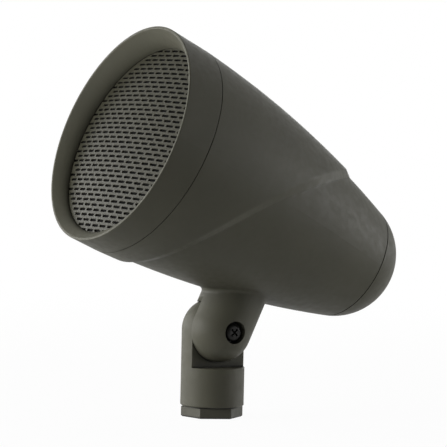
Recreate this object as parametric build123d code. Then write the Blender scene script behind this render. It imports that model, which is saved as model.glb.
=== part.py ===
from build123d import *
import os
from math import asin, cos, hypot, radians, sin, sqrt, tan

# Outdoor patio speaker: a bullet-shaped head on a half-lap tilting knuckle.
# Millimetres and degrees. +Z is up, the grille faces -Y, the tilt axis runs along X.
# The origin is the mouth of the threaded socket in the hexagonal base.

# Driving dimensions of the head: stations run back along its long axis from the rim's centre
rim_radius = 70.0
rim_rake = 3.8
rim_lip = 1.4
rim_round = 0.5
seam_station = 23.3
seam_inset = 0.5
seam_bevel = 0.35
throat_slope = 45.0
nose_slope = 3.2
ogive_radius = 686.0
tail_station = 188.0
wall = 3.2
step_depth = 2.2
step_ramp = 5.5
step_foot = 0.1
step_radius = 214.3
step_back = 55.4
step_below = 79.3

# Driving dimensions of the knuckle and of the socket for the stake
knuckle_radius = 19.8
knuckle_round = 0.5
ledge_height = 31.4
lap_inset = 13.8
head_shift = 0.8
neck_station = 120.0
neck_blend = 2.5
rest_pitch = 25.4
tilt_room = 36.0
stem_chamfer = 0.7
hex_inset = 3.0
hex_height = 6.4
hex_chamfer = 0.8
hex_turn = 6.6
socket_radius = 9.5
socket_depth = 18.0
shank_wall = 4.0
shank_roof = 6.0

# Clearances and thin sheets
running_fit = 0.05
slip_gap = 0.1
lap_gap = 0.1
free_gap = 0.4
ledge_gap = 3.1
belly_gap = 23.4
screw_room = 1.6
gasket_sheet = 1.0
washer_sheet = 0.6
cloth_sheet = 0.5
paper_sheet = 0.8

# Screws: shank radius, head radius, head height and length under the head
pivot_screw = (3.0, 5.4, 4.4, 38.0)
driver_screw = (1.5, 3.0, 2.0, 8.0)
board_screw = (1.2, 2.4, 1.6, 8.0)
recess_width = 1.2
recess_share = 0.55

# Bullet: one large arc for the skin, and an oblique step where a wide cylinder cuts the raised skin away
seam_radius = rim_radius - seam_inset
ogive_station = seam_station - ogive_radius * sin(radians(nose_slope))
ogive_drop = ogive_radius * cos(radians(nose_slope)) - seam_radius
cavity_inset = step_depth + wall
step_station = tail_station + step_back
step_drop = rim_radius + step_below
far_reach = 4 * rim_radius

# Bezel and grille
spigot_inset = 3.3
spigot_wall = 2.0
spigot_length = 4.2
spigot_radius = seam_radius - spigot_inset
spigot_end = seam_station + spigot_length
throat_steps = 6
grille_inset = 7.9
grille_station = 10.3
grille_lip = 0.6
grille_seat = grille_station + grille_lip
grille_window = rim_radius - grille_inset
grille_radius = spigot_radius - spigot_wall
grille_sheet = 0.8
grille_crown = 4.4
slot_length = 6.6
slot_height = 1.3
slot_pitch = 8.9
row_pitch = 3.19
slot_margin = 0.6

# Knuckle: the head's mid plane stands beside the stem's axis, and the halves lap at one plane
pivot_height = ledge_height + ledge_gap + knuckle_radius
lap_plane = knuckle_radius - lap_inset
head_offset = lap_plane + head_shift
lap_local = lap_gap - head_shift
chamber_wall = 6.8
wire_hole_radius = 3.5
wire_hole_inset = 1.0
wire_chamber_depth = 4.0
wire_chamber_radius = knuckle_radius - chamber_wall
pivot_boss_radius = wire_chamber_radius / 2
wire_hole_start = (pivot_boss_radius + wire_chamber_radius) / 2
counterbore_radius = pivot_screw[1] + screw_room
counterbore_depth = 6.8
washer_rim = counterbore_radius - free_gap
nut_flats = 10.0
nut_height = 5.0
nut_inset = 3.0

# Hexagonal base and its swivel
hex_flats = 2 * (knuckle_radius - hex_inset)
stem_bottom = hex_height + washer_sheet
shank_radius = socket_radius + shank_wall
shank_top = socket_depth + shank_roof
ring_width = 1.6
ring_depth = 1.0
ring_bottom = socket_depth - ring_depth

# Driver, set back from the seam
baffle_setback = 9.7
baffle_sheet = 4.0
baffle_station = seam_station + baffle_setback
baffle_back = baffle_station + baffle_sheet
flange_inset = 2.1
flange_width = 8.5
flange_sheet = 2.0
flange_radius = grille_window - flange_inset
flange_back = baffle_station - gasket_sheet
flange_front = flange_back - flange_sheet
baffle_hole = flange_radius - flange_width
screw_circle = (flange_radius + baffle_hole) / 2
tub_room = 1.0
tub_sheet = 1.7
tub_radius = baffle_hole - tub_room
roll_width = 7.0
roll_outer = tub_radius - tub_sheet
roll_inner = roll_outer - roll_width
roll_station = flange_back
coil_radius = 13.3
coil_sheet = 0.5
coil_gap = 0.4
coil_overhang = 3.0
cone_depth = 18.0
cone_foot = roll_station + cone_depth
former_length = 13.0
plate_radius = 32.0
plate_sheet = 4.0
plate_station = cone_foot + former_length
plate_back = plate_station + plate_sheet
magnet_radius = 37.0
magnet_sheet = 13.0
magnet_room = 5.0
magnet_back = plate_back + magnet_sheet
magnet_bore = coil_radius + magnet_room
back_sheet = 5.0
spider_stand = 6.0
spider_inset = 3.0
spider_station = plate_station - spider_stand
spider_outer = plate_radius - spider_inset
spider_rim = 2.0
spider_wave = 1.2
spider_waves = 6
basket_window = 38.0
basket_lip = 5.0
basket_wall = 2.0
basket_rim = plate_station - basket_lip
basket_throat = plate_radius + basket_wall

# Tweeter on a bridge in front of the cone
bridge_stand = 8.0
bridge_sheet = 2.5
bridge_width = 12.0
bridge_station = flange_front - bridge_stand
bridge_back = bridge_station + bridge_sheet
tweeter_radius = 15.0
tweeter_wall = 4.0
tweeter_lip = 2.0
tweeter_depth = 8.5
tweeter_station = bridge_station - tweeter_depth
tweeter_stub = tweeter_radius - tweeter_wall
tweeter_film = 0.6
tweeter_crown = 3.0

# Tail cap and its seal
cap_spigot_length = 7.0
cap_spigot = tail_station - cap_spigot_length
seal_setback = 4.5
seal_station = tail_station - seal_setback
seal_width = 1.8
seal_depth = 1.2

# Crossover board inside the tail cap's bore, on two posts
board_stand = 2.0
board_gap = 3.1
board_sheet = 1.6
board_edge = 3.5
board_corner = 37.7
board_post_radius = 3.0
board_station = tail_station + board_stand
part_gap = 1.0
capacitor_radius = 5.5
choke_height = 13.0
choke_flange = 1.5
choke_core = 2.0
resistor_size = (6.0, 6.0, 10.0)


def skin(station, inset=0.0):
    """Point (radius, station) on the bullet's skin, or on a skin set in from it."""
    return sqrt((ogive_radius - inset) ** 2 - (station - ogive_station) ** 2) - ogive_drop, station


cap_mouth = skin(tail_station, cavity_inset)[0] - slip_gap
cap_bore = cap_mouth - wall
board_width = 2 * (cap_bore - board_gap) * cos(radians(board_corner))
board_height = 2 * (cap_bore - board_gap) * sin(radians(board_corner))
board_post_spread = board_width / 2 - board_edge
choke_radius = (board_height - part_gap) / 2 - capacitor_radius
capacitor_length = 2 * (board_post_spread - board_screw[1] - board_gap)
axis_height = skin(neck_station, step_depth)[0] + belly_gap
pivot_place = Pos(0, neck_station, -axis_height)
head_place = Pos(head_offset, 0, pivot_height) * Rot(-rest_pitch, 0, 0) * Pos(0, -neck_station, axis_height)


def spun(*curves):
    """Solid of revolution about the head's long axis from curves that close on (radius, station)."""
    return revolve(make_face([edge for curve in curves for edge in curve.edges()]), Axis.Y)


def turned(*outline):
    """Solid of revolution about the head's long axis from corners (radius, station)."""
    return spun(Polyline(*outline, close=True))


def bullet(start, end, inset):
    """Solid bullet between two stations, with its skin set in from the outer skin."""
    arc = ThreePointArc(skin(start, inset), skin((start + end) / 2, inset), skin(end, inset))
    return spun(arc, Polyline(arc @ 1, (0, end), (0, start), arc @ 0))


def disc(radius, start, end):
    """Cylinder on the head's long axis between two stations."""
    return turned((0, start), (radius, start), (radius, end), (0, end))


def ring(outer, inner, start, end):
    """Plain ring on the head's long axis between two stations."""
    return turned((inner, start), (outer, start), (outer, end), (inner, end))


def rod(radius, start, end):
    """Cylinder along X between two places."""
    return Pos((start + end) / 2, 0, 0) * Rot(0, 90, 0) * Cylinder(radius, end - start)


def post(radius, bottom, top):
    """Upright cylinder between two heights."""
    return Pos(0, 0, (bottom + top) / 2) * Cylinder(radius, top - bottom)


def hex_post(flats, bottom, top):
    """Upright hexagonal bar with two of its flats facing along Y."""
    return Pos(0, 0, bottom) * extrude(RegularPolygon(flats / 2, 6, major_radius=False), top - bottom)


def screw(shank, head, height, length):
    """Cross-recess screw with its seat at the origin: the head rises along +Z, the shank goes down."""
    body = post(shank, -length, 0) + fillet(post(head, 0, height).edges().group_by(Axis.Z)[-1], height / 2)
    for turn in (0, 90):
        body -= Pos(0, 0, height) * Rot(0, 0, turn) * Box(2 * recess_share * head, recess_width, height)
    return body


def around(count, radius, station, start_angle):
    """Places spread round the head's long axis at one station."""
    return [Rot(0, start_angle + 360 * i / count, 0) * Pos(0, station, radius) for i in range(count)]


def dome(window, rim, edge_station, crown, sheet):
    """Round sheet pressed into a shallow dome that bulges to the front, with a flat rim round it."""
    ball = (window ** 2 + crown ** 2) / (2 * crown)
    front = RadiusArc((0, edge_station - crown), (window, edge_station), -ball)
    back = RadiusArc((window, edge_station + sheet), (0, edge_station - crown + sheet), ball)
    side = Polyline(front @ 1, (rim, edge_station), (rim, edge_station + sheet), back @ 0)
    return spun(front, side, back, Line(back @ 1, front @ 0))


def seam_edge(radius, station, way):
    """Ring that bevels an outer edge at a seam; way is 1 behind the seam and -1 in front of it."""
    return turned((radius - seam_bevel, station), (radius + wall, station),
                  (radius + wall, station + way * (wall + seam_bevel)))


def lap_side(size):
    """Half space on the lower knuckle's side of the lap plane, in the pivot's own frame."""
    return Pos(lap_local - size / 2, 0, 0) * Box(size, 2 * size, 2 * size)


def make_neck():
    """Neck with a ball end, lapped on one side to make room for the lower knuckle's ball."""
    reach = axis_height - skin(neck_station)[0] + 2 * cavity_inset
    arc = RadiusArc((0, -knuckle_radius), (knuckle_radius, 0), -knuckle_radius)
    side = Polyline(arc @ 1, (knuckle_radius, reach), (0, reach), arc @ 0)
    neck = Rot(90, 0, 0) * spun(arc, side)
    rise = far_reach * tan(radians(tilt_room))
    below = Polyline((0, 0), (far_reach, rise), (far_reach, -far_reach), (-far_reach, -far_reach),
                     (-far_reach, rise), close=True)
    room = Pos(lap_local, 0, 0) * Rot(0, -90, 0) * Rot(0, 0, -90) * extrude(make_face(below), far_reach)
    ball_room = Pos(-head_offset, 0, 0) * Sphere(knuckle_radius + free_gap)
    return neck - room - (ball_room & lap_side(2 * knuckle_radius))


def is_neck_root(edge):
    """True for an edge where the neck's round side runs into the bullet's belly."""
    spots = [edge @ share for share in (0, 0.5, 1)]
    on_side = all(abs(hypot(spot.X, spot.Y - neck_station) - knuckle_radius) < slip_gap for spot in spots)
    return on_side and min(spot.Z for spot in spots) > 0.85 * knuckle_radius - axis_height


def lap_chamber(start, end):
    """Ring-shaped chamber round the pivot in a lap face, where wires pass from half to half."""
    return rod(wire_chamber_radius, start, end) - rod(pivot_boss_radius, start, end)


def is_step_edge(edge):
    """True for the edge where the raised skin ends at the oblique step."""
    spots = [edge @ share for share in (0, 0.5, 1)]
    reaches = [hypot(spot.Y - step_station, spot.Z + step_drop) for spot in spots]
    on_sweep = all(abs(reach - step_radius) < slip_gap for reach in reaches)
    return on_sweep and all(abs(hypot(spot.X, spot.Z) - skin(spot.Y)[0]) < slip_gap for spot in spots)


def make_bullet():
    """Solid bullet whose front is a raised skin that ramps down to the rear along an oblique sweep."""
    # The blank starts in front of the whole sweep, so that the ramp never ends at the seam's face
    nose = min(seam_station, step_station - step_radius - wall)
    sweep = Pos(0, step_station, -step_drop) * Rot(0, 90, 0) * Cylinder(step_radius, far_reach)
    front = bullet(nose - wall, tail_station, 0) - sweep
    layer = thicken(front.faces().filter_by(GeomType.REVOLUTION)[0], -(step_depth + wall / 2))
    whole = bullet(nose, tail_station, step_depth)
    whole += layer & disc(far_reach, nose, tail_station)
    whole = chamfer(whole.edges().filter_by(is_step_edge), step_ramp, step_depth - step_foot)
    return whole - disc(far_reach, nose - wall, seam_station)


def make_enclosure():
    """Moulded bullet with the oblique raised skin, baffle, neck and upper knuckle lobe in one piece."""
    shell = make_bullet()
    shell -= seam_edge(seam_radius, seam_station, 1)
    shell -= seam_edge(skin(tail_station, step_depth)[0], tail_station, -1)
    shell += pivot_place * make_neck()
    shell = fillet(shell.edges().filter_by(is_neck_root), neck_blend)
    shell -= disc(spigot_radius + slip_gap, seam_station, spigot_end + gasket_sheet)
    shell -= bullet(spigot_end + gasket_sheet, baffle_station, cavity_inset)
    shell -= disc(baffle_hole, baffle_station, baffle_back)
    shell -= bullet(baffle_back, tail_station, cavity_inset)
    for place in around(4, screw_circle, baffle_station, 45):
        shell -= place * Rot(90, 0, 0) * post(driver_screw[0], -baffle_sheet, 0)
    pivot_cuts = rod(pivot_screw[0] + running_fit, lap_local, knuckle_radius)
    pivot_cuts += rod(counterbore_radius, knuckle_radius - counterbore_depth, 2 * knuckle_radius)
    pivot_cuts += lap_chamber(lap_local, lap_local + wire_chamber_depth)
    wires = post(wire_hole_radius, wire_hole_start, axis_height / 2)
    pivot_cuts += Pos(lap_local + wire_hole_radius + wire_hole_inset, 0, 0) * wires
    return shell - pivot_place * pivot_cuts


def make_throat():
    """Bell-mouthed opening that leads from the raked rim to the upright edge of the grille's window."""
    mouth = rim_radius - rim_lip
    knee = (mouth - grille_window) / tan(radians(throat_slope))
    curve = Bezier((mouth, 0), (grille_window, knee), (grille_window, grille_station))
    spots = [curve @ 0 - (curve % 0) * wall] + [curve @ (i / throat_steps) for i in range(throat_steps + 1)]
    sections = []
    for spot in spots:
        lean = rim_rake * (1 - max(0, spot.Y) / grille_station)
        sections.append(Pos(0, spot.Y, 0) * Rot(lean, 0, 0) * Rot(90, 0, 0) * Circle(spot.X))
    return loft(sections) + disc(grille_window, grille_station, grille_seat)


def make_bezel():
    """Hood ring with a raked rim, a bell-mouthed throat down to the grille seat and a rear spigot."""
    front = -2 * rim_radius * tan(radians(rim_rake))
    flare = (rim_radius - seam_radius) / seam_station
    bezel = turned((0, front), (rim_radius - flare * front, front), (seam_radius, seam_station),
                   (spigot_radius, seam_station), (spigot_radius, spigot_end), (grille_radius, spigot_end),
                   (grille_radius, grille_seat), (0, grille_seat))
    bezel -= Rot(rim_rake, 0, 0) * Pos(0, -far_reach / 2, 0) * Box(far_reach, far_reach, far_reach)
    bezel -= make_throat()
    bezel -= seam_edge(seam_radius, seam_station, -1)
    rim_edges = bezel.edges().group_by(Axis.Y)[:2]
    return fillet([edge for group in rim_edges for edge in group], rim_round)


def slot_places():
    """Middles (across, up) of the grille's slots, in rows that stagger like brickwork."""
    limit = grille_radius - slot_margin
    rows = int(limit / row_pitch)
    columns = int(limit / slot_pitch) + 1
    for row in range(-rows, rows + 1):
        for column in range(-columns, columns + 1):
            across = (column + 0.5 * (row % 2)) * slot_pitch
            up = row * row_pitch
            if (abs(across) + slot_length / 2) ** 2 + (abs(up) + slot_height / 2) ** 2 < limit ** 2:
                yield across, up


def make_grille():
    """Domed sheet with every slot cut straight through it along the head's long axis."""
    sheet = dome(grille_window, grille_radius, grille_seat, grille_crown, grille_sheet)
    cutter = Box(slot_length, 4 * grille_crown, slot_height)
    return sheet - [Pos(across, grille_station, up) * cutter for across, up in slot_places()]


def make_rear_cap():
    """Ball-shaped tail cap that runs on from the skin, with a sealed spigot and two board posts."""
    radius = skin(tail_station, step_depth)[0]
    slope = asin((tail_station - ogive_station) / (ogive_radius - step_depth))
    ball = radius / cos(slope)
    centre = tail_station - ball * sin(slope)
    hollow = ball - wall
    bore_end = centre + sqrt(hollow ** 2 - cap_bore ** 2)
    groove_end = seal_station + seal_width
    edge_station = tail_station + seam_bevel
    edge_radius = sqrt(ball ** 2 - (edge_station - centre) ** 2)
    outside = RadiusArc((edge_radius, edge_station), (0, centre + ball), -ball)
    inside = RadiusArc((0, centre + hollow), (cap_bore, bore_end), hollow)
    groove = cap_mouth - seal_depth
    spigot = Polyline(inside @ 1, (cap_bore, cap_spigot), (cap_mouth, cap_spigot), (cap_mouth, seal_station),
                      (groove, seal_station), (groove, groove_end), (cap_mouth, groove_end),
                      (cap_mouth, tail_station), (edge_radius - seam_bevel, tail_station), outside @ 0)
    cap = spun(outside, Line(outside @ 1, inside @ 0), inside, spigot)
    for side in (-1, 1):
        beside = Pos(side * board_post_spread, 0, 0)
        stud = beside * disc(board_post_radius, board_station + board_sheet, centre + ball)
        cap += stud & (Pos(0, centre, 0) * Sphere(ball - wall / 2))
        cap -= beside * disc(board_screw[0], board_station, board_station + board_screw[3])
    return cap


def is_lap_edge(edge):
    """True for an outer edge of the stem's lap face or of the ledge below it."""
    spots = [edge @ share for share in (0, 0.5, 1)]
    reaches = [hypot(spot.X, spot.Y, max(0, spot.Z - pivot_height)) for spot in spots]
    on_lap = all(abs(spot.X - lap_plane) < running_fit for spot in spots)
    on_ledge = all(abs(spot.Z - ledge_height) < running_fit for spot in spots)
    return (on_lap or on_ledge) and all(abs(reach - knuckle_radius) < slip_gap for reach in reaches)


def make_lower_knuckle():
    """Stem with a ball end, lapped flat on one side, bored for the swivel shank and the wires."""
    stem = post(knuckle_radius, stem_bottom, pivot_height) + Pos(0, 0, pivot_height) * Sphere(knuckle_radius)
    stem = chamfer(stem.edges().group_by(Axis.Z)[0], stem_chamfer)
    lap = Box(far_reach, far_reach, far_reach, align=(Align.MIN, Align.CENTER, Align.MIN))
    stem -= Pos(lap_plane, 0, ledge_height) * lap
    stem = fillet(stem.edges().filter_by(is_lap_edge), knuckle_round)
    stem -= post(shank_radius + running_fit, stem_bottom, shank_top + free_gap)
    stem -= post(shank_radius + ring_depth + free_gap, ring_bottom - free_gap / 2,
                 ring_bottom + ring_width + free_gap / 2)
    pivot_cuts = rod(pivot_screw[0], -knuckle_radius, lap_plane)
    pivot_cuts += lap_chamber(lap_plane - wire_chamber_depth, lap_plane)
    trap_floor = knuckle_radius - nut_inset - nut_height
    pivot_cuts += Rot(0, -90, 0) * hex_post(nut_flats + slip_gap, trap_floor, knuckle_radius)
    stem -= Pos(0, 0, pivot_height) * pivot_cuts
    wires = post(wire_hole_radius, shank_top, pivot_height - wire_hole_start)
    return stem - Pos(lap_plane - wire_hole_radius - wire_hole_inset, 0, 0) * wires


def make_hex_base():
    """Hexagonal collar whose hollow shank turns in the stem; the stake screws into its socket."""
    collar = Rot(0, 0, hex_turn) * hex_post(hex_flats, 0, hex_height)
    collar = chamfer(collar.edges().group_by(Axis.Z)[0], hex_chamfer)
    base = collar + post(shank_radius, hex_height, shank_top)
    base -= post(socket_radius, 0, socket_depth)
    base -= post(wire_hole_radius + wire_hole_inset, socket_depth, shank_top)
    groove = post(shank_radius, ring_bottom, ring_bottom + ring_width)
    return base - (groove - post(shank_radius - ring_depth, ring_bottom, ring_bottom + ring_width))


def upright_ring(outer, inner, bottom, top):
    """Plain upright ring between two heights."""
    return post(outer, bottom, top) - post(inner, bottom, top)


def make_swivel_ring():
    """Split spring ring that keeps the shank in the stem."""
    top = ring_bottom + ring_width
    loop = upright_ring(shank_radius + ring_depth, shank_radius - ring_depth, ring_bottom, top)
    return loop - Pos(shank_radius, 0, ring_bottom) * Box(3 * ring_depth, ring_width, 3 * ring_width)


def make_pivot_screw():
    """Tilt clamp screw: its head sits in the lobe's counterbore and its shank ends in the nut."""
    seat = head_offset + knuckle_radius - counterbore_depth + washer_sheet
    return Pos(seat, 0, pivot_height) * Rot(0, 90, 0) * screw(*pivot_screw)


def make_pivot_washer():
    """Flat washer under the tilt screw's head."""
    start = head_offset + knuckle_radius - counterbore_depth
    end = start + washer_sheet
    return Pos(0, 0, pivot_height) * (rod(washer_rim, start, end) - rod(pivot_screw[0], start, end))


def make_pivot_nut():
    """Hexagon nut held in the trap on the stem's far side."""
    start = knuckle_radius - nut_inset - nut_height
    end = start + nut_height
    nut = hex_post(nut_flats, start, end) - post(pivot_screw[0], start, end)
    return Pos(0, 0, pivot_height) * Rot(0, -90, 0) * nut


def make_driver_gasket():
    """Flat gasket under the driver's flange with holes for its screws."""
    gasket = ring(flange_radius, baffle_hole, flange_back, baffle_station)
    for place in around(4, screw_circle, baffle_station, 45):
        gasket -= place * Rot(90, 0, 0) * post(driver_screw[0], 0, gasket_sheet)
    return gasket


def make_basket():
    """Pressed driver frame: flange, four legs and the rear rim that the front plate is fixed to."""
    shelf = spider_station + paper_sheet
    shelf_radius = spider_outer + spider_rim
    frame = turned((roll_outer, flange_front), (flange_radius, flange_front), (flange_radius, flange_back),
                   (tub_radius, flange_back), (tub_radius, baffle_back), (basket_throat, basket_rim),
                   (basket_throat, plate_station), (spider_outer, plate_station), (spider_outer, shelf),
                   (shelf_radius, shelf), (shelf_radius, shelf - tub_sheet),
                   (roll_outer, baffle_back - tub_sheet))
    window_depth = basket_rim - baffle_back - 3 * tub_sheet
    for place in around(4, roll_outer, (baffle_back + basket_rim) / 2, 0):
        frame -= place * Box(basket_window, window_depth, roll_outer)
    for place in around(4, screw_circle, flange_back, 45):
        frame -= place * Rot(90, 0, 0) * post(driver_screw[0], 0, flange_sheet)
    return frame


def make_surround():
    """Half-roll rubber edge between the cone and the frame."""
    middle = (roll_outer + roll_inner) / 2
    radius = (roll_outer - roll_inner) / 2
    thin = radius - paper_sheet
    front = ThreePointArc((roll_inner, roll_station), (middle, roll_station - radius),
                          (roll_outer, roll_station))
    back = ThreePointArc((middle + thin, roll_station), (middle, roll_station - thin),
                         (middle - thin, roll_station))
    return spun(front, Line(front @ 1, back @ 0), back, Line(back @ 1, front @ 0))


def make_cone():
    """Straight-sided cone with a flat lip under the rubber edge."""
    lip_radius = roll_inner + paper_sheet
    lip_back = roll_station + paper_sheet
    return turned((lip_radius, roll_station), (lip_radius, lip_back), (roll_inner - paper_sheet, lip_back),
                  (coil_radius, cone_foot + paper_sheet), (coil_radius, cone_foot),
                  (roll_inner - 2 * paper_sheet, roll_station))


def make_dust_cap():
    """Shallow domed cap over the front of the coil."""
    edge = cone_foot - paper_sheet - coil_sheet
    return dome(coil_radius - coil_sheet, coil_radius, edge, coil_radius / 3, coil_sheet)


def make_spider():
    """Corrugated ring that centres the coil."""
    step = (spider_outer - coil_radius) / spider_waves
    front = []
    for i in range(spider_waves + 1):
        front.append((coil_radius + i * step, spider_station + spider_wave * (i % 2)))
    front.append((spider_outer + spider_rim, spider_station))
    return turned(*front, *[(radius, station + paper_sheet) for radius, station in reversed(front)])


def make_voice_coil():
    """Former tube with its winding in the magnet gap."""
    tail = plate_back + coil_overhang
    tube = ring(coil_radius, coil_radius - coil_sheet, cone_foot - paper_sheet, tail)
    return tube + ring(coil_radius + coil_sheet, coil_radius, plate_station - coil_overhang, tail)


def make_back_plate():
    """Rear steel plate with the pole piece and its vent."""
    pole = coil_radius - coil_sheet - coil_gap
    back = magnet_back + back_sheet
    plate = disc(basket_throat, magnet_back, back) + disc(pole, plate_station, magnet_back)
    return plate - disc(pole / 3, plate_station, back)


def make_bridge():
    """Arched strip over the cone that carries the tweeter."""
    toe = screw_circle + bridge_sheet
    toe_front = flange_front - bridge_sheet
    heel = roll_outer + free_gap
    arch = Polyline((toe, flange_front), (toe, toe_front), (heel + bridge_sheet, toe_front),
                    (heel - 2 * bridge_sheet, bridge_station), (0, bridge_station), (0, bridge_back),
                    (heel - 3 * bridge_sheet, bridge_back), (heel, flange_front), close=True)
    leg = extrude(make_face(arch), bridge_width / 2, both=True)
    strip = leg + mirror(leg, Plane.YZ) + disc(tweeter_radius, bridge_station, bridge_back)
    return strip - disc(tweeter_stub, bridge_station, bridge_back)


def make_tweeter_cup():
    """Tweeter cup with a raised lip and a stub that passes through the bridge."""
    cup = disc(tweeter_radius, tweeter_station, bridge_station)
    cup -= disc(tweeter_radius - tweeter_lip, tweeter_station, tweeter_station + tweeter_lip)
    return cup + disc(tweeter_stub, bridge_station, bridge_back + tweeter_lip)


def make_tweeter_dome():
    """Thin domed film inside the tweeter's lip."""
    rim = tweeter_radius - tweeter_lip
    edge = tweeter_station + tweeter_lip - tweeter_film
    return dome(rim - tweeter_lip, rim, edge, tweeter_crown, tweeter_film)


def make_board():
    """Crossover circuit board with its two fixing holes."""
    board = Pos(0, board_station + board_sheet / 2, 0) * Box(board_width, board_sheet, board_height)
    for side in (-1, 1):
        hole = disc(board_screw[0], board_station, board_station + board_sheet)
        board -= Pos(side * board_post_spread, 0, 0) * hole
    return board


def make_choke():
    """Copper coil on a flanged bobbin, standing on the board."""
    front = board_station - choke_height
    waist = choke_radius - choke_core
    bobbin = turned((choke_core, front), (choke_radius, front), (choke_radius, front + choke_flange),
                    (waist, front + choke_flange), (waist, board_station - choke_flange),
                    (choke_radius, board_station - choke_flange), (choke_radius, board_station),
                    (choke_core, board_station))
    return Pos(-board_width / 10, 0, board_height / 2 - choke_radius) * bobbin


def make_capacitor():
    """Film capacitor lying along the board's lower edge."""
    can = rod(capacitor_radius, -capacitor_length / 2, capacitor_length / 2)
    return Pos(0, board_station - capacitor_radius, capacitor_radius - board_height / 2) * can


def make_resistor():
    """Ceramic power resistor beside the coil."""
    depth = resistor_size[1]
    return Pos(board_width / 3, board_station - depth / 2, board_height / 3) * Box(*resistor_size)


def screws_at(places, size):
    """Group of like screws with their heads to the front."""
    return Compound(children=[place * Rot(90, 0, 0) * screw(*size) for place in places])


board_places = [Pos(side * board_post_spread, board_station, 0) for side in (-1, 1)]
head_nodes = {
    "enclosure": make_enclosure(),
    "front_bezel": make_bezel(),
    "grille": make_grille(),
    "grille_cloth": dome(grille_window, grille_radius, grille_seat + grille_sheet, grille_crown, cloth_sheet),
    "bezel_gasket": ring(spigot_radius, grille_radius, spigot_end, spigot_end + gasket_sheet),
    "rear_cap": make_rear_cap(),
    "rear_seal": ring(cap_mouth + slip_gap, cap_mouth - seal_depth, seal_station, seal_station + seal_width),
    "driver_gasket": make_driver_gasket(),
    "driver_basket": make_basket(),
    "driver_screws": screws_at(around(4, screw_circle, flange_front, 45), driver_screw),
    "cone_surround": make_surround(),
    "woofer_cone": make_cone(),
    "dust_cap": make_dust_cap(),
    "spider": make_spider(),
    "voice_coil": make_voice_coil(),
    "front_plate": ring(plate_radius, coil_radius + coil_sheet + coil_gap, plate_station, plate_back),
    "magnet": ring(magnet_radius, magnet_bore, plate_back, magnet_back),
    "back_plate": make_back_plate(),
    "tweeter_bridge": make_bridge(),
    "tweeter_cup": make_tweeter_cup(),
    "tweeter_dome": make_tweeter_dome(),
    "crossover_board": make_board(),
    "crossover_choke": make_choke(),
    "crossover_capacitor": make_capacitor(),
    "crossover_resistor": make_resistor(),
    "board_screws": screws_at(board_places, board_screw),
}
stand_nodes = {
    "lower_knuckle": make_lower_knuckle(),
    "pivot_screw": make_pivot_screw(),
    "pivot_washer": make_pivot_washer(),
    "pivot_nut": make_pivot_nut(),
    "hex_base": make_hex_base(),
    "swivel_washer": upright_ring(hex_flats / 2, shank_radius + running_fit, hex_height, stem_bottom),
    "swivel_ring": make_swivel_ring(),
}

os.makedirs("parts", exist_ok=True)
for name, solids in head_nodes.items():
    export_step(head_place * solids, f"parts/{name}.step")
for name, solids in stand_nodes.items():
    export_step(solids, f"parts/{name}.step")
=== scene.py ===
from math import cos, hypot, pi, radians, sin, sqrt

import bpy
from bpy.props import FloatProperty, FloatVectorProperty, IntProperty, PointerProperty
from mathutils import Matrix, Vector
from mathutils.geometry import delaunay_2d_cdt


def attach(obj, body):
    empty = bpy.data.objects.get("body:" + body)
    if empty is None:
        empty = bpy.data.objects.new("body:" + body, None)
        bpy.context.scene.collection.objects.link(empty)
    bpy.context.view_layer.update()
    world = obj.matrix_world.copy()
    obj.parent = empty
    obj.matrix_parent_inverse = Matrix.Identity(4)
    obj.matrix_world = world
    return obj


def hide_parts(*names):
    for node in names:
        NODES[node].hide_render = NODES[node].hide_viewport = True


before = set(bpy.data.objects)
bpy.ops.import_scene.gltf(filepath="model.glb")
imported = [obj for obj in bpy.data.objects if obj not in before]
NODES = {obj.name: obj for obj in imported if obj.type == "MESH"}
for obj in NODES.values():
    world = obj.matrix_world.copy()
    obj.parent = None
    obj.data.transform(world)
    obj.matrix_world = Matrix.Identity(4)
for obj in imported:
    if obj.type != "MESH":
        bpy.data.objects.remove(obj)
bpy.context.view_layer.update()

bl_info = {
    "name": "Patio Speaker Looks",
    "version": (1, 0, 0),
    "blender": (4, 5, 0),
    "location": "View3D > Sidebar > Speaker",
    "description": "Dresses the patio speaker: moulded housing, slotted grille, knuckle and inner pieces",
    "category": "Object",
}

# Azimuth and elevation in degrees, and size in metres, of the soft lamps
LAMPS = {"key": (-20, 4, 0.8), "front": (0, 22, 0.8), "left": (-60, 6, 0.8), "right": (132, -1, 0.25),
         "rear": (165, 2, 0.8), "back": (238, 4, 0.8)}

# Where gloss starts to see the white backdrop and where it sees nothing else, from the object towards
# the photo's camera: in metres on the floor, and as the cosine of the angle to it in the sky
FLOOR_BACKDROP = (0.4, 0.1)
SKY_BACKDROP = (0.1, -0.4)

# Middle part of a noise that is spread over a full range, and the shares of open sky in hollows between
# which painted shade fades out
NOISE_SPAN = (0.3, 0.7)
CORNER_SHADE_SPAN = (0.4, 1.0)
GROOVE_SHADE_SPAN = (0.5, 0.95)

# Turn of the tilt screw that sets its cross recess on the diagonal
SCREW_TURN = pi / 4

# Kind of result asked of the grille's triangulation, and the distance within which two points are one
ALL_TRIANGLES = 0
SAME_POINT = 1e-9


def length(label, about, default):
    """Length property in metres."""
    return FloatProperty(name=label, description=about, default=default, unit="LENGTH", precision=5)


def angle(label, about, degrees):
    """Angle property, given in degrees."""
    return FloatProperty(name=label, description=about, default=radians(degrees), subtype="ANGLE")


def share(label, about, default):
    """Share property between nought and one."""
    return FloatProperty(name=label, description=about, default=default, min=0.0, max=1.0, subtype="FACTOR")


def number(label, about, default):
    """Plain number property."""
    return FloatProperty(name=label, description=about, default=default)


def tally(label, about, default):
    """Property for a number of steps."""
    return IntProperty(name=label, description=about, default=default, min=2)


def power(label, about, watts):
    """Power property of a lamp in watts."""
    return FloatProperty(name=label, description=about, default=watts, min=0.0, unit="POWER")


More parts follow.
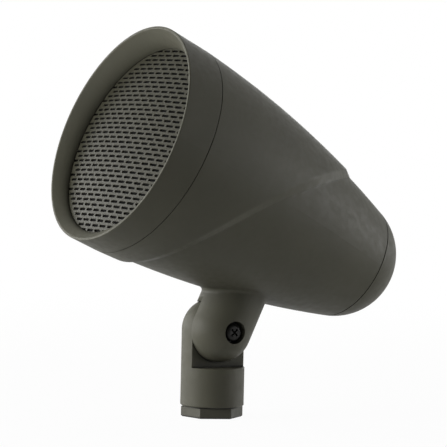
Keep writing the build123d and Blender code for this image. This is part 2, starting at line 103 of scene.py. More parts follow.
def colour(label, about, red, green, blue):
    """Colour property, written as it would look on a screen in steps of 255."""
    def linear(step):
        """Light that one step stands for by the sRGB curve."""
        value = step / 255
        return value / 12.92 if value <= 0.04045 else ((value + 0.055) / 1.055) ** 2.4
    tone = (linear(red), linear(green), linear(blue))
    return FloatVectorProperty(name=label, description=about, default=tone, size=3, min=0.0, max=1.0,
                               subtype="COLOR")


class SpeakerHead(bpy.types.PropertyGroup):
    """Sizes of the bullet-shaped head, on stations that run back along its long axis from the rim."""
    pivot_x: length("Pivot across", "Tilt pivot's place beside the stem's axis", 0.0068)
    pivot_z: length("Pivot height", "Tilt pivot's height over the socket's mouth", 0.0543)
    pitch: angle("Rest pitch", "How far the head looks up at rest", 25.4)
    neck_station: length("Neck station", "Station of the neck behind the rim", 0.120)
    axis_height: length("Axis height", "Height of the head's long axis over the pivot", 0.078312)
    step_radius: length("Step radius", "Radius of the step's arc seen from the side", 0.2143)
    step_station: length("Step station", "Station of the middle of the step's arc", 0.2434)
    step_drop: length("Step drop", "Depth of the middle of the step's arc below the long axis", 0.1493)
    ramp_width: length("Ramp width", "Width of the ramp from the raised skin down to the rear skin", 0.0055)
    ramp_round: length("Ramp rounding", "Rounding of the ramp's two edges", 0.003)
    edge_round: length("Edge rounding", "Rounding of the other moulded edges", 0.0004)


class SpeakerGrille(bpy.types.PropertyGroup):
    """Sizes of the domed grille and of its slots."""
    seat: length("Seat station", "Station of the grille's rim", 0.0109)
    window: length("Window radius", "Radius of the dome inside the bezel", 0.0621)
    radius: length("Rim radius", "Outer radius of the flat rim", 0.0642)
    crown: length("Crown", "How far the dome bulges", 0.0044)
    sheet: length("Sheet", "Thickness of the sheet", 0.0008)
    slot_length: length("Slot length", "Length of a slot", 0.0070)
    slot_height: length("Slot height", "Height of a slot", 0.0015)
    slot_pitch: length("Slot pitch", "Distance from slot to slot in a row", 0.0089)
    row_pitch: length("Row pitch", "Distance from row to row", 0.00319)
    margin: length("Margin", "Plain band left round the slots on the rim", 0.0004)
    edge: length("Edge", "Softening of the punched edges", 0.00014)
    round_steps: tally("Round steps", "Steps in a slot's round end", 5)
    rim_steps: tally("Rim steps", "Steps round the sheet's rim", 180)
    crease: angle("Crease", "Sharpest bend of the sheet that is still shaded smooth", 24)


class SpeakerThread(bpy.types.PropertyGroup):
    """Sizes of the thread in the stake socket."""
    radius: length("Socket radius", "Radius of the socket's wall", 0.0095)
    ridge: length("Ridge height", "How far the thread stands in from the wall", 0.00055)
    pitch: length("Thread pitch", "Distance from turn to turn", 0.001814)
    start: length("Thread start", "Height of the first turn over the mouth", 0.0016)
    turns: number("Turns", "Number of turns of the thread", 7.0)
    steps: tally("Steps", "Steps in one turn", 72)
    sink: length("Sink", "How far the ridge's root stands in the wall", 0.0002)
    root: share("Root width", "Width of the ridge at the wall, as a share of the pitch", 0.8)
    crest: share("Crest width", "Width of the ridge's crest, as a share of the pitch", 0.16)
    run_out: number("Run-out", "Part of a turn over which the ridge fades at each end", 0.5)
    end_height: share("End height", "Share of the ridge's height left at its very ends", 0.02)


class SpeakerFinish(bpy.types.PropertyGroup):
    """Colours and textures of the finishes, with the painted shade in inner corners and seams."""
    housing: colour("Housing", "Moulded dark bronze plastic", 70, 69, 58)
    grille: colour("Grille", "Powder-coated grille sheet", 49, 48, 38)
    base: colour("Base", "Moulded plastic of the hexagonal base", 66, 65, 56)
    roughness: share("Plastic roughness", "Roughness of the moulded plastic", 0.55)
    sheen: share("Plastic sheen", "Strength of the plastic's reflections, half being the usual", 0.2)
    # Painted shade: the next two darken the colour at the bottom of seams and grooves, where shade falls
    groove: length("Groove", "Reach of the dark bottom of seams and grooves", 0.0015)
    groove_shade_tone: share("Groove tone", "Brightness left at the bottom of a seam", 0.15)
    # Painted shade: the next two darken the colour in inner corners, where shade falls
    corner: length("Corner", "Reach of the soft dark tone in inner corners", 0.014)
    corner_shade_tone: share("Corner tone", "Brightness left in an inner corner", 0.5)
    grain: length("Grain", "Size of the moulded grain", 0.0005)
    grain_depth: length("Grain depth", "Depth of the moulded grain", 0.000012)


class SpeakerStage(bpy.types.PropertyGroup):
    """Camera, light and floor."""
    azimuth: angle("Azimuth", "Direction of the camera round the object", 58.284)
    elevation: angle("Elevation", "Height of the camera over the horizon", 4.9215)
    roll: angle("Roll", "Turn of the camera about its own line of sight", 1.272)
    distance: length("Distance", "Distance from the camera to the point that it was set by", 1.9956)
    centre_height: length("Centre height", "Height of that point on the stem's axis", 0.04416)
    aim_across: number("Aim across", "Sideways aim past that point", 0.002386)
    aim_up: number("Aim up", "Upward aim past that point", 0.03825)
    lens: number("Lens", "Focal length in millimetres", 257.7)
    sensor: number("Sensor", "Width of the camera's sensor in millimetres", 36.0)
    sky: number("Surroundings", "Strength of the even light all round", 0.16)
    lamp_distance: length("Lamp distance", "Distance of the lamps from the object", 1.6)
    lamp_aim: length("Lamp aim", "Height that the lamps are aimed at", 0.12)
    key: power("Key lamp", "Low lamp before the grille, to the left of its axis", 29.0)
    front: power("Front lamp", "Raised lamp on the grille's axis", 9.5)
    left: power("Left lamp", "Lamp on the far side of the grille", 13.5)
    right: power("Right lamp", "Small low lamp to the right of the camera", 3.4)
    rear: power("Rear lamp", "Lamp behind the tail", 13.0)
    back: power("Back lamp", "Lamp opposite the camera, for the side that the photo doesn't show", 6.0)
    floor: share("Floor", "How pale the floor is", 0.72)
    floor_reach: length("Floor reach", "Half the width of the floor", 5.0)
    floor_white: share("Floor white", "Share of the floor near the object that looks plain white", 0.96)
    white_start: length("White start", "Distance where the floor starts to turn all white", 0.25)
    white_end: length("White end", "Distance where the floor is all white", 1.2)


def settings(name):
    """One of this script's groups of settings."""
    return getattr(bpy.context.scene, "speaker_" + name)


def head_place():
    """Matrix from stations along the head's long axis to the row frame."""
    head = settings("head")
    to_pivot = Matrix.Translation((0, -head.neck_station, head.axis_height))
    pivot = Matrix.Translation((head.pivot_x, 0, head.pivot_z))
    return pivot @ Matrix.Rotation(-head.pitch, 4, "X") @ to_pivot


def outward(azimuth, elevation):
    """Direction from the object: azimuth nought is straight before the grille, and grows towards +X."""
    return Vector((sin(azimuth) * cos(elevation), -cos(azimuth) * cos(elevation), sin(elevation)))


def add_piece(name, points, faces, body, material, crease=radians(35)):
    """New mesh object on a body, smooth except at creases."""
    mesh = bpy.data.meshes.new(name)
    mesh.from_pydata([tuple(p) for p in points], [], faces)
    mesh.validate()
    mesh.polygons.foreach_set("use_smooth", [True] * len(mesh.polygons))
    mesh.set_sharp_from_angle(angle=crease)
    piece = bpy.data.objects.new(name, mesh)
    bpy.context.scene.collection.objects.link(piece)
    piece.data.materials.append(material)
    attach(piece, body)
    return piece


def dress(material, *names):
    """Gives CAD nodes a material."""
    for name in names:
        mesh = NODES[name].data
        mesh.materials.clear()
        mesh.materials.append(material)


class Nodes:
    """Short way to place and join the nodes of one material."""

    def __init__(self, name):
        self.material = bpy.data.materials.new(name)
        self.material.use_nodes = True
        self.tree = self.material.node_tree
        self.shader = self.tree.nodes["Principled BSDF"]
        self.place = self.add("ShaderNodeTexCoord").outputs["Object"]

    def add(self, kind, **values):
        """Adds a node; values are its attributes, or its inputs where it has no such attribute."""
        node = self.tree.nodes.new(kind)
        for key, value in values.items():
            if hasattr(node, key):
                setattr(node, key, value)
            else:
                node.inputs[key].default_value = value
        return node

    def join(self, output, target):
        """Links an output to an input."""
        self.tree.links.new(output, target)

    def noise(self, size, detail=2.0, stretch=None):
        """Noise with features of a size in metres, stretched along the axes where asked."""
        texture = self.add("ShaderNodeTexNoise", Scale=1 / size, Detail=detail)
        place = self.place
        if stretch:
            mapping = self.add("ShaderNodeMapping", Scale=stretch)
            self.join(place, mapping.inputs["Vector"])
            place = mapping.outputs["Vector"]
        self.join(place, texture.inputs["Vector"])
        return texture.outputs["Fac"]

    def spread(self, factor, low=0, high=1, span=NOISE_SPAN):
        """Maps a span of a factor, by default the middle of a noise, to a range of values."""
        node = self.add("ShaderNodeMapRange")
        for key, value in zip(("From Min", "From Max", "To Min", "To Max"), (*span, low, high)):
            node.inputs[key].default_value = value
        self.join(factor, node.inputs["Value"])
        return node.outputs["Result"]

    def blend(self, factor, first, second):
        """Mix of two colours, where either may be an output."""
        node = self.add("ShaderNodeMix", data_type="RGBA")
        self.join(factor, node.inputs["Factor"])
        for key, value in (("A", first), ("B", second)):
            socket = next(s for s in node.inputs if s.name == key and s.type == "RGBA")
            if isinstance(value, bpy.types.NodeSocket):
                self.join(value, socket)
            else:
                socket.default_value = (*value, 1)
        return next(s for s in node.outputs if s.type == "RGBA")

    def paint_hollow_shade(self, plain, dark, reach, span, alone):
        """Painted shade: mix of a plain colour and a dark one in hollows within a reach, of the piece alone
        or of all.
        """
        hollow = self.add("ShaderNodeAmbientOcclusion", samples=8, only_local=alone, Distance=reach)
        return self.blend(self.spread(hollow.outputs["AO"], span=span), dark, plain)

    def bump(self, height, depth, normal=None):
        """Bump of a depth in metres, on a normal of its own where given."""
        node = self.add("ShaderNodeBump", Distance=depth)
        self.join(height, node.inputs["Height"])
        if normal:
            self.join(normal, node.inputs["Normal"])
        self.join(node.outputs["Normal"], self.shader.inputs["Normal"])

    def paint(self, output):
        """Sends a colour to the shader."""
        self.join(output, self.shader.inputs["Base Color"])

    def fix(self, key, value):
        """Sets one of the shader's own values."""
        self.shader.inputs[key].default_value = value

    def gloss(self, factor, low, high):
        """Sends a varying roughness to the shader."""
        self.join(self.spread(factor, low, high), self.shader.inputs["Roughness"])


def shade(tone, factor):
    """A colour made darker or lighter by a factor."""
    return tuple(min(1.0, part * factor) for part in tone)


def soft_edges(nodes):
    """Normal that rounds the moulded edges, most of all the two along the oblique ramp."""
    head = settings("head")
    to_head = head_place().inverted()
    place = nodes.add("ShaderNodeMapping", Location=to_head.translation, Rotation=to_head.to_euler())
    nodes.join(nodes.place, place.inputs["Vector"])
    arm = nodes.add("ShaderNodeVectorMath", operation="MULTIPLY_ADD")
    arm.inputs[1].default_value = (0, 1, 1)
    arm.inputs[2].default_value = (0, -head.step_station, head.step_drop)
    nodes.join(place.outputs["Vector"], arm.inputs[0])
    reach = nodes.add("ShaderNodeVectorMath", operation="LENGTH")
    nodes.join(arm.outputs["Vector"], reach.inputs[0])
    near = nodes.add("ShaderNodeMath", operation="COMPARE")
    near.inputs[1].default_value = head.step_radius + head.ramp_width / 2
    near.inputs[2].default_value = head.ramp_width + head.ramp_round
    nodes.join(reach.outputs["Value"], near.inputs[0])
    radius = nodes.add("ShaderNodeMapRange")
    radius.inputs["To Min"].default_value = head.edge_round
    radius.inputs["To Max"].default_value = head.ramp_round
    nodes.join(near.outputs["Value"], radius.inputs["Value"])
    bevel = nodes.add("ShaderNodeBevel", samples=8)
    nodes.join(radius.outputs["Result"], bevel.inputs["Radius"])
    return bevel.outputs["Normal"]


def moulded_plastic(name, tone, roughness):
    """Fine spark-grained plastic: faint mottling, fine grain, painted shade in inner corners and seams,
    rounded edges and an even satin gloss.
    """
    finish = settings("finish")
    nodes = Nodes(name)
    mottle = nodes.spread(nodes.noise(size=0.03, detail=3.0))
    cloud = nodes.blend(mottle, shade(tone, 0.94), shade(tone, 1.06))
    speck = nodes.noise(finish.grain, detail=2.0)
    grained = nodes.blend(nodes.spread(speck, high=0.22), cloud, shade(tone, 0.72))
    # Painted shade in inner corners and at the bottom of seams and grooves, from the share of open sky
    # round each point
    corner_shade_colour, groove_shade_colour = shade(tone, finish.corner_shade_tone), shade(tone, finish.groove_shade_tone)
    corner_shaded = nodes.paint_hollow_shade(grained, corner_shade_colour, finish.corner, CORNER_SHADE_SPAN, alone=True)
    nodes.paint(nodes.paint_hollow_shade(corner_shaded, groove_shade_colour, finish.groove, GROOVE_SHADE_SPAN, alone=False))
    nodes.gloss(nodes.noise(size=0.004, detail=3.0), low=roughness - 0.05, high=roughness + 0.06)
    nodes.bump(speck, finish.grain_depth, soft_edges(nodes))
    nodes.fix("Specular IOR Level", finish.sheen)
    return nodes.material


def powder_coat(name, tone, roughness):
    """Sprayed powder coat: orange peel, a fine fleck and a soft sheen."""
    nodes = Nodes(name)
    peel = nodes.noise(size=0.0009, detail=2.0)
    fleck = nodes.spread(nodes.noise(size=0.00035, detail=2.0))
    nodes.paint(nodes.blend(fleck, shade(tone, 0.9), shade(tone, 1.1)))
    nodes.gloss(peel, low=roughness - 0.08, high=roughness + 0.08)
    nodes.bump(peel, depth=0.00002)
    nodes.fix("Specular IOR Level", 0.15)
    return nodes.material


def black_oxide(name):
    """Black-oxide steel: near black, slightly oily, with worn specks."""
    nodes = Nodes(name)
    worn = nodes.spread(nodes.noise(size=0.0007, detail=4.0))
    nodes.paint(nodes.blend(worn, (0.006, 0.006, 0.006), (0.016, 0.015, 0.013)))
    nodes.gloss(nodes.noise(size=0.0012, detail=3.0), low=0.3, high=0.5)
    nodes.bump(nodes.noise(size=0.0004, detail=2.0), depth=0.00001)
    nodes.fix("Specular IOR Level", 0.15)
    return nodes.material


def plain_steel(name):
    """Zinc-bright steel with drawn streaks."""
    nodes = Nodes(name)
    streak = nodes.noise(size=0.0012, detail=4.0, stretch=(1, 14, 14))
    nodes.paint(nodes.blend(nodes.spread(streak), (0.42, 0.42, 0.43), (0.58, 0.58, 0.57)))
    nodes.gloss(streak, low=0.22, high=0.4)
    nodes.bump(streak, depth=0.000008)
    nodes.fix("Metallic", 1.0)
    return nodes.material


def soft_rubber(name):
    """Matt black rubber with a dusty bloom."""
    nodes = Nodes(name)
    bloom = nodes.spread(nodes.noise(size=0.006, detail=5.0))
    nodes.paint(nodes.blend(bloom, (0.012, 0.012, 0.012), (0.024, 0.023, 0.022)))
    nodes.gloss(nodes.noise(size=0.002, detail=3.0), low=0.68, high=0.86)
    nodes.bump(nodes.noise(size=0.0006, detail=3.0), depth=0.00003)
    return nodes.material


def woven_cloth(name, dark, light, thread, depth):
    """Cloth of crossed threads at a thread size in metres."""
    nodes = Nodes(name)
    weave = []
    for direction in ("X", "Z"):
        wave = nodes.add("ShaderNodeTexWave", wave_type="BANDS", bands_direction=direction,
                         Scale=0.5 / thread, Distortion=0.6, Detail=1.0)
        nodes.join(nodes.place, wave.inputs["Vector"])
        weave.append(wave.outputs["Fac"])
    crossed = nodes.add("ShaderNodeMath", operation="MULTIPLY")
    nodes.join(weave[0], crossed.inputs[0])
    nodes.join(weave[1], crossed.inputs[1])
    nodes.paint(nodes.blend(crossed.outputs["Value"], dark, light))
    nodes.gloss(nodes.noise(size=0.003, detail=3.0), low=0.8, high=0.95)
    nodes.bump(crossed.outputs["Value"], depth)
    nodes.fix("Specular IOR Level", 0.05)
    return nodes.material


def wound_copper(name):
    """Enamelled copper wire, wound turn beside turn."""
    nodes = Nodes(name)
    turns = nodes.add("ShaderNodeTexWave", wave_type="BANDS", bands_direction="Y", Scale=1400.0,
                      Distortion=0.4)
    nodes.join(nodes.place, turns.inputs["Vector"])
    nodes.paint(nodes.blend(turns.outputs["Fac"], (0.2, 0.06, 0.02), (0.56, 0.22, 0.09)))
    nodes.gloss(nodes.noise(size=0.002, detail=2.0), low=0.25, high=0.4)
    nodes.bump(turns.outputs["Fac"], depth=0.00008)
    nodes.fix("Metallic", 0.8)
    return nodes.material


def pulp_cone(name):
    """Dark pressed cone with mica flecks."""
    nodes = Nodes(name)
    fleck = nodes.spread(nodes.noise(size=0.0011, detail=5.0))
    nodes.paint(nodes.blend(fleck, (0.008, 0.008, 0.009), (0.022, 0.022, 0.023)))
    nodes.gloss(nodes.noise(size=0.002, detail=4.0), low=0.4, high=0.6)
    nodes.bump(nodes.noise(size=0.0008, detail=4.0), depth=0.00006)
    return nodes.material


def ground_ferrite(name):
    """Ground ferrite: dark grey with fine pits."""
    nodes = Nodes(name)
    pit = nodes.noise(size=0.0006, detail=6.0)
    nodes.paint(nodes.blend(nodes.spread(pit), (0.016, 0.016, 0.017), (0.034, 0.034, 0.036)))
    nodes.gloss(nodes.noise(size=0.003, detail=3.0), low=0.45, high=0.62)
    nodes.bump(pit, depth=0.00005)
    return nodes.material


def thin_film(name):
    """Formed metal film of the tweeter, faintly spun."""
    nodes = Nodes(name)
    spun = nodes.noise(size=0.0008, detail=3.0)
    nodes.paint(nodes.blend(nodes.spread(spun), (0.5, 0.5, 0.52), (0.62, 0.62, 0.63)))
    nodes.gloss(spun, low=0.18, high=0.3)
    nodes.bump(nodes.noise(size=0.0015, detail=2.0), depth=0.000006)
    nodes.fix("Metallic", 1.0)
    return nodes.material


def fibre_board(name):
    """Green glass-fibre board: weave under lacquer and a few copper tracks."""
    nodes = Nodes(name)
    weave = nodes.noise(size=0.0007, detail=1.0, stretch=(1, 1, 3))
    green = nodes.blend(nodes.spread(weave), (0.010, 0.062, 0.022), (0.016, 0.09, 0.032))
    track = nodes.add("ShaderNodeTexBrick", Scale=95.0, offset=0.5, squash=1.0)
    track.inputs["Mortar Size"].default_value = 0.03
    nodes.join(nodes.place, track.inputs["Vector"])
    nodes.paint(nodes.blend(track.outputs["Fac"], green, (0.025, 0.13, 0.045)))
    nodes.gloss(weave, low=0.25, high=0.4)
    nodes.bump(track.outputs["Fac"], depth=0.00003)
    return nodes.material


def taped_film(name):
    """Yellow tape round the film capacitor."""
    nodes = Nodes(name)
    lap = nodes.noise(size=0.0035, detail=2.0, stretch=(6, 1, 1))
    nodes.paint(nodes.blend(nodes.spread(lap), (0.42, 0.27, 0.022), (0.56, 0.38, 0.035)))
    nodes.gloss(lap, low=0.2, high=0.36)
    nodes.bump(lap, depth=0.00002)
    return nodes.material


def white_ceramic(name):
    """Cement-filled ceramic of the power resistor."""
    nodes = Nodes(name)
    cement = nodes.noise(size=0.0009, detail=6.0)
    nodes.paint(nodes.blend(nodes.spread(cement), (0.56, 0.54, 0.49), (0.7, 0.68, 0.63)))
    nodes.gloss(cement, low=0.7, high=0.9)
    nodes.bump(cement, depth=0.00006)
    return nodes.material


def enamel(name):
    """Black enamel on the pressed driver frame."""
    nodes = Nodes(name)
    peel = nodes.noise(size=0.0014, detail=3.0)
    nodes.paint(nodes.blend(nodes.spread(peel), (0.010, 0.010, 0.011), (0.018, 0.018, 0.018)))
    nodes.gloss(peel, low=0.28, high=0.42)
    nodes.bump(peel, depth=0.00002)
    return nodes.material


class SPEAKER_OT_housing(bpy.types.Operator):
    """Finish the moulded head, bezel, tail cap and stem"""
    bl_idname = "speaker.housing"
    bl_label = "Housing"

    def execute(self, context):
        finish = settings("finish")
        plastic = moulded_plastic("housing", tuple(finish.housing), finish.roughness)
        dress(plastic, "enclosure", "front_bezel", "rear_cap", "lower_knuckle")
        return {"FINISHED"}


class SPEAKER_OT_grille(bpy.types.Operator):
    """Make the domed grille with its round-ended slots, and finish the cloth behind it"""
    bl_idname = "speaker.grille"
    bl_label = "Grille"

    def execute(self, context):
        finish = settings("finish")
        paint = powder_coat("grille_paint", tuple(finish.grille), roughness=0.5)
        slots = self.slot_places()
        points, faces = self.sheet(slots)
        place = head_place()
        piece = add_piece("grille_sheet", [place @ p for p in points], faces, "head", paint,
                          settings("grille").crease)
        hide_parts("grille")
        cloth = woven_cloth("cloth", dark=(0.0015, 0.0015, 0.0015), light=(0.008, 0.008, 0.008),
                            thread=0.0006, depth=0.0001)
        dress(cloth, "grille_cloth")
        return {"FINISHED"}

    def slot_places(self):
        """Middles of the slots, in rows that stagger like brickwork."""
        grille = settings("grille")
        limit = grille.radius - grille.margin
        rows = int(limit / grille.row_pitch)
        columns = int(limit / grille.slot_pitch) + 1
        places = []
        for row in range(-rows, rows + 1):
            for column in range(-columns, columns + 1):
                across = (column + 0.5 * (row % 2)) * grille.slot_pitch
                up = row * grille.row_pitch
                corner = hypot(abs(across) + grille.slot_length / 2, abs(up) + grille.slot_height / 2)
                if corner < limit:
                    places.append((across, up))
        return places

    def outline(self, across, up, grow):
        """Outline of one round-ended slot, grown by an edge."""
        grille = settings("grille")
        radius = grille.slot_height / 2
        reach = grille.slot_length / 2 - radius
        steps = grille.round_steps
        points = []
        for side in (1, -1):
            for i in range(steps + 1):
                turn = -pi / 2 + pi * i / steps
                points.append((across + side * (reach + (radius + grow) * cos(turn)),
                               up + side * (radius + grow) * sin(turn)))
        return points

    def lifted(self, x, z, depth):
        """Point on the dome at a depth behind its front."""
        grille = settings("grille")
        ball = (grille.window ** 2 + grille.crown ** 2) / (2 * grille.crown)
        rise = ball - sqrt(ball ** 2 - min(hypot(x, z), grille.window) ** 2)
        return Vector((x, grille.seat - grille.crown + rise + depth, z))

    def flat_pattern(self, slots):
        """Flat points of the rim and the slots, their edges, and the points of each slot."""
        grille = settings("grille")
        flat = []
        edges = []
        loops = []
        for i in range(grille.rim_steps):
            turn = 2 * pi * i / grille.rim_steps
            flat.append((grille.radius * cos(turn), grille.radius * sin(turn)))
            edges.append((i, (i + 1) % grille.rim_steps))
        for across, up in slots:
            start = len(flat)
            hole = self.outline(across, up, grille.edge)
            flat += hole
            loops.append(range(start, start + len(hole)))
            edges += [(start + i, start + (i + 1) % len(hole)) for i in range(len(hole))]
        return flat, edges, loops

    def lands(self, flat, edges, loops):
        """Triangles of the sheet between the slots."""
        found = delaunay_2d_cdt([Vector(p) for p in flat], edges, [], ALL_TRIANGLES, SAME_POINT)
        if len(found[0]) != len(flat):
            raise RuntimeError("The grille's outlines cross each other")
        owner = {corner: hole for hole, loop in enumerate(loops) for corner in loop}
        kept = []
        for face in found[2]:
            holes = {owner.get(corner) for corner in face}
            if len(holes) > 1 or None in holes:
                kept.append(tuple(face))
        return kept

    def sheet(self, slots):
        """Points and faces of the domed sheet, with softened slot edges on its front."""
        grille = settings("grille")
        flat, edges, loops = self.flat_pattern(slots)
        lands = self.lands(flat, edges, loops)
        behind = len(flat)
        points = [self.lifted(x, z, 0) for x, z in flat]
        points += [self.lifted(x, z, grille.sheet) for x, z in flat]
        lip = {}
        for (across, up), loop in zip(slots, loops):
            for corner, (x, z) in zip(loop, self.outline(across, up, 0)):
                lip[corner] = len(points)
                points.append(self.lifted(x, z, grille.edge))
                points[behind + corner] = self.lifted(x, z, grille.sheet)
        faces = [(c, b, a) for a, b, c in lands]
        faces += [(a + behind, b + behind, c + behind) for a, b, c in lands]
        for loop in loops:
            for here, there in zip(loop, (*loop[1:], loop[0])):
                faces.append((here, there, lip[there], lip[here]))
                faces.append((lip[here], lip[there], there + behind, here + behind))
        for i in range(grille.rim_steps):
            after = (i + 1) % grille.rim_steps
            faces.append((after, i, i + behind, after + behind))
        return points, faces


class SPEAKER_OT_base(bpy.types.Operator):
    """Finish the hexagonal base and add the thread in its stake socket"""
    bl_idname = "speaker.base"
    bl_label = "Base"

    def execute(self, context):
        finish = settings("finish")
        plastic = moulded_plastic("base_plastic", tuple(finish.base), finish.roughness)
        dress(plastic, "hex_base")
        self.add_thread(plastic)
        return {"FINISHED"}

    def add_thread(self, plastic):
        """Helical ridge on the socket's wall that fades in and out at its ends."""
        thread = settings("thread")
        count = int(thread.steps * thread.turns)
        root = thread.radius + thread.sink
        points = []
        for i in range(count + 1):
            turn = 2 * pi * i / thread.steps
            middle = thread.start + thread.pitch * i / thread.steps
            fade = min(1.0, min(i, count - i) / thread.steps / thread.run_out)
            crest = thread.radius - max(thread.end_height, fade) * thread.ridge
            for radius, shift in ((root, -thread.root / 2), (crest, -thread.crest / 2),
                                  (crest, thread.crest / 2), (root, thread.root / 2)):
                height = middle + shift * thread.pitch
                points.append(Vector((radius * cos(turn), radius * sin(turn), height)))
        faces = [(3, 2, 1, 0), tuple(4 * count + k for k in range(4))]
        for i in range(count):
            here, there = 4 * i, 4 * i + 4
            for k in range(4):
                after = (k + 1) % 4
                faces.append((here + k, here + after, there + after, there + k))
        add_piece("stake_thread", points, faces, "base", plastic)


class SPEAKER_OT_fasteners(bpy.types.Operator):
    """Finish the pieces of steel and rubber, and turn the tilt screw"""
    bl_idname = "speaker.fasteners"
    bl_label = "Fasteners and seals"

    def execute(self, context):
        dress(black_oxide("black_screw"), "pivot_screw", "pivot_washer", "driver_screws")
        self.turn_screw(context)
        dress(plain_steel("steel"), "pivot_nut", "swivel_ring", "front_plate", "back_plate", "board_screws")
        dress(soft_rubber("rubber"), "swivel_washer", "bezel_gasket", "rear_seal", "driver_gasket",
              "cone_surround")
        return {"FINISHED"}

    def turn_screw(self, context):
        """Sets the tilt screw with its cross recess on the diagonal, as it was driven home."""
        mesh = NODES["pivot_screw"].data.copy()
        axis = Matrix.Translation((0, 0, settings("head").pivot_z))
        mesh.transform(axis @ Matrix.Rotation(SCREW_TURN, 4, "X") @ axis.inverted())
        piece = bpy.data.objects.new("driven_screw", mesh)
        context.scene.collection.objects.link(piece)
        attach(piece, "stem")
        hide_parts("pivot_screw")


class SPEAKER_OT_driver(bpy.types.Operator):
    """Finish the driver, its magnet, the tweeter in front of it, and all that is wound of copper"""
    bl_idname = "speaker.driver"
    bl_label = "Driver and tweeter"

    def execute(self, context):
        dress(enamel("basket_paint"), "driver_basket")
        dress(pulp_cone("cone_poly"), "woofer_cone", "dust_cap")
        cloth = woven_cloth("spider_cloth", dark=(0.16, 0.085, 0.02), light=(0.34, 0.2, 0.06),
                            thread=0.0005, depth=0.0002)
        dress(cloth, "spider")
        dress(wound_copper("copper"), "voice_coil", "crossover_choke")
        dress(ground_ferrite("ferrite"), "magnet")
        black = moulded_plastic("tweeter_plastic", tone=(0.012, 0.012, 0.012), roughness=0.5)
        dress(black, "tweeter_bridge", "tweeter_cup")
        dress(thin_film("dome_film"), "tweeter_dome")
        return {"FINISHED"}


class SPEAKER_OT_crossover(bpy.types.Operator):
    """Finish the crossover's board, capacitor and resistor"""
    bl_idname = "speaker.crossover"
    bl_label = "Crossover"

    def execute(self, context):
        dress(fibre_board("board"), "crossover_board")
        dress(taped_film("capacitor_film"), "crossover_capacitor")
        dress(white_ceramic("ceramic"), "crossover_resistor")
        return {"FINISHED"}


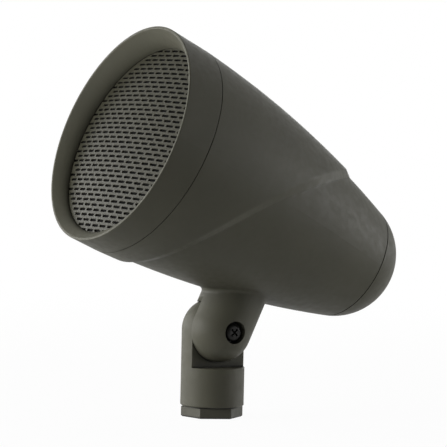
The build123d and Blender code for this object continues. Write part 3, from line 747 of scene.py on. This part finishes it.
class SPEAKER_OT_stage(bpy.types.Operator):
    """Set the pale floor, the soft light and the camera at the photo's angle"""
    bl_idname = "speaker.stage"
    bl_label = "Stage"

    def execute(self, context):
        context.scene.view_settings.view_transform = "Standard"
        toward = self.add_camera(context)
        self.add_floor(context, toward)
        self.add_sky(context, toward)
        stage = settings("stage")
        for name, (azimuth, elevation, size) in LAMPS.items():
            way = outward(radians(azimuth), radians(elevation))
            self.add_lamp(context, name, way, size, getattr(stage, name))
        return {"FINISHED"}

    def add_camera(self, context):
        """Camera at the photo's viewing angle; gives back its direction from the object."""
        stage = settings("stage")
        toward = outward(stage.azimuth, stage.elevation)
        up = Vector((0, 0, 1))
        across = (-toward).cross(up).normalized()
        sight = (-toward + stage.aim_across * across + stage.aim_up * across.cross(-toward)).normalized()
        across = sight.cross(up).normalized()
        upward = across.cross(sight)
        right = cos(stage.roll) * across + sin(stage.roll) * upward
        upward = cos(stage.roll) * upward - sin(stage.roll) * across
        lens = bpy.data.cameras.new("camera")
        lens.lens = stage.lens
        lens.sensor_width = stage.sensor
        lens.sensor_fit = "HORIZONTAL"
        lens.clip_start = 0.1
        lens.clip_end = 50.0
        camera = bpy.data.objects.new("camera", lens)
        turn = Matrix((right, upward, -sight)).transposed().to_4x4()
        spot = stage.distance * toward + Vector((0, 0, stage.centre_height))
        camera.matrix_world = Matrix.Translation(spot) @ turn
        context.scene.collection.objects.link(camera)
        context.scene.camera = camera
        return toward

    def add_floor(self, context, toward):
        """Plain pale floor that keeps the object's shadow and is near white to the camera."""
        stage = settings("stage")
        mesh = bpy.data.meshes.new("floor")
        reach = stage.floor_reach
        corners = [(-reach, -reach, 0), (reach, -reach, 0), (reach, reach, 0), (-reach, reach, 0)]
        mesh.from_pydata(corners, [], [(0, 1, 2, 3)])
        floor = bpy.data.objects.new("floor", mesh)
        context.scene.collection.objects.link(floor)
        material = bpy.data.materials.new("pale_floor")
        material.use_nodes = True
        tree = material.node_tree
        shader = tree.nodes["Principled BSDF"]
        shader.inputs["Base Color"].default_value = (stage.floor, stage.floor, stage.floor, 1)
        shader.inputs["Roughness"].default_value = 0.9
        glow = tree.nodes.new("ShaderNodeEmission")
        glow.inputs["Color"].default_value = (1, 1, 1, 1)
        glow.inputs["Strength"].default_value = 1.0
        mix = tree.nodes.new("ShaderNodeMixShader")
        place = tree.nodes.new("ShaderNodeNewGeometry")
        away = tree.nodes.new("ShaderNodeVectorMath")
        away.operation = "LENGTH"
        tree.links.new(place.outputs["Position"], away.inputs[0])
        span = (stage.white_start, stage.white_end)
        whiten = self.fade(tree, away.outputs["Value"], span, (stage.floor_white, 1.0))
        behind = self.behind(tree, place.outputs["Position"], toward, FLOOR_BACKDROP)
        part = self.reckon(tree, "MULTIPLY", self.plain_rays(tree, behind), whiten)
        tree.links.new(part, mix.inputs["Fac"])
        tree.links.new(shader.outputs["BSDF"], mix.inputs[1])
        tree.links.new(glow.outputs["Emission"], mix.inputs[2])
        tree.links.new(mix.outputs["Shader"], tree.nodes["Material Output"].inputs["Surface"])
        mesh.materials.append(material)

    def plain_rays(self, tree, backdrop):
        """One for the rays that see white: the camera's, those in glass, and gloss on the backdrop."""
        path = tree.nodes.new("ShaderNodeLightPath")
        gloss = self.reckon(tree, "MULTIPLY", path.outputs["Is Glossy Ray"], backdrop)
        clear = self.reckon(tree, "MAXIMUM", path.outputs["Is Camera Ray"],
                            path.outputs["Is Transmission Ray"])
        return self.reckon(tree, "MAXIMUM", clear, gloss)

    def fade(self, tree, value, span, levels):
        """Smooth change from one level to another over a span of a value."""
        node = tree.nodes.new("ShaderNodeMapRange")
        node.interpolation_type = "SMOOTHSTEP"
        for key, limit in zip(("From Min", "From Max", "To Min", "To Max"), (*span, *levels)):
            node.inputs[key].default_value = limit
        tree.links.new(value, node.inputs["Value"])
        return node.outputs["Result"]

    def behind(self, tree, place, toward, span):
        """One on the far side of the object from the photo's camera, nought on the near side."""
        along = tree.nodes.new("ShaderNodeVectorMath")
        along.operation = "DOT_PRODUCT"
        along.inputs[1].default_value = toward
        tree.links.new(place, along.inputs[0])
        return self.fade(tree, along.outputs["Value"], span, (0.0, 1.0))

    def reckon(self, tree, operation, first, second):
        """Result of a sum on two outputs."""
        node = tree.nodes.new("ShaderNodeMath")
        node.operation = operation
        tree.links.new(first, node.inputs[0])
        tree.links.new(second, node.inputs[1])
        return node.outputs["Value"]

    def add_sky(self, context, toward):
        """Even surroundings that are white to the camera, and in gloss as far as the backdrop reaches."""
        world = bpy.data.worlds.new("studio")
        world.use_nodes = True
        context.scene.world = world
        tree = world.node_tree
        seen = tree.nodes["Background"]
        seen.inputs["Color"].default_value = (1, 1, 1, 1)
        seen.inputs["Strength"].default_value = 1.0
        lit = tree.nodes.new("ShaderNodeBackground")
        lit.inputs["Color"].default_value = (1, 1, 1, 1)
        lit.inputs["Strength"].default_value = settings("stage").sky
        place = tree.nodes.new("ShaderNodeTexCoord")
        behind = self.behind(tree, place.outputs["Generated"], toward, SKY_BACKDROP)
        mix = tree.nodes.new("ShaderNodeMixShader")
        tree.links.new(self.plain_rays(tree, behind), mix.inputs["Fac"])
        tree.links.new(lit.outputs["Background"], mix.inputs[1])
        tree.links.new(seen.outputs["Background"], mix.inputs[2])
        tree.links.new(mix.outputs["Shader"], tree.nodes["World Output"].inputs["Surface"])

    def add_lamp(self, context, name, way, size, watts):
        """Soft square lamp in one direction from the object, aimed at the head."""
        stage = settings("stage")
        data = bpy.data.lights.new(name + "_lamp", "AREA")
        data.shape = "SQUARE"
        data.size = size
        data.energy = watts
        lamp = bpy.data.objects.new(data.name, data)
        spot = Vector((0, 0, stage.lamp_aim)) + stage.lamp_distance * way
        turn = (-way).to_track_quat("-Z", "Y").to_matrix().to_4x4()
        lamp.matrix_world = Matrix.Translation(spot) @ turn
        context.scene.collection.objects.link(lamp)


class SPEAKER_PT_panel(bpy.types.Panel):
    """Lists the steps that dress the speaker"""
    bl_idname = "SPEAKER_PT_panel"
    bl_label = "Patio speaker"
    bl_space_type = "VIEW_3D"
    bl_region_type = "UI"
    bl_category = "Speaker"

    def draw(self, context):
        for operator in OPERATORS:
            self.layout.operator(operator.bl_idname)
        for name in GROUPS:
            box = self.layout.box()
            box.label(text=name.capitalize())
            group = settings(name)
            for key in group.__annotations__:
                box.prop(group, key)


GROUPS = {"head": SpeakerHead, "grille": SpeakerGrille, "thread": SpeakerThread, "finish": SpeakerFinish,
          "stage": SpeakerStage}
OPERATORS = (SPEAKER_OT_housing, SPEAKER_OT_grille, SPEAKER_OT_base, SPEAKER_OT_fasteners,
             SPEAKER_OT_driver, SPEAKER_OT_crossover, SPEAKER_OT_stage)


def register():
    """Registers the groups, operators and panel."""
    for name, group in GROUPS.items():
        bpy.utils.register_class(group)
        setattr(bpy.types.Scene, "speaker_" + name, PointerProperty(type=group))
    for kind in (*OPERATORS, SPEAKER_PT_panel):
        bpy.utils.register_class(kind)


def unregister():
    """Takes them out again in reverse."""
    for kind in (SPEAKER_PT_panel, *reversed(OPERATORS)):
        bpy.utils.unregister_class(kind)
    for name, group in reversed(GROUPS.items()):
        delattr(bpy.types.Scene, "speaker_" + name)
        bpy.utils.unregister_class(group)


def main():
    """Dresses the speaker step by step."""
    register()
    bpy.ops.speaker.housing()
    bpy.ops.speaker.grille()
    bpy.ops.speaker.base()
    bpy.ops.speaker.fasteners()
    bpy.ops.speaker.driver()
    bpy.ops.speaker.crossover()
    bpy.ops.speaker.stage()


if __name__ == "__main__":
    main()
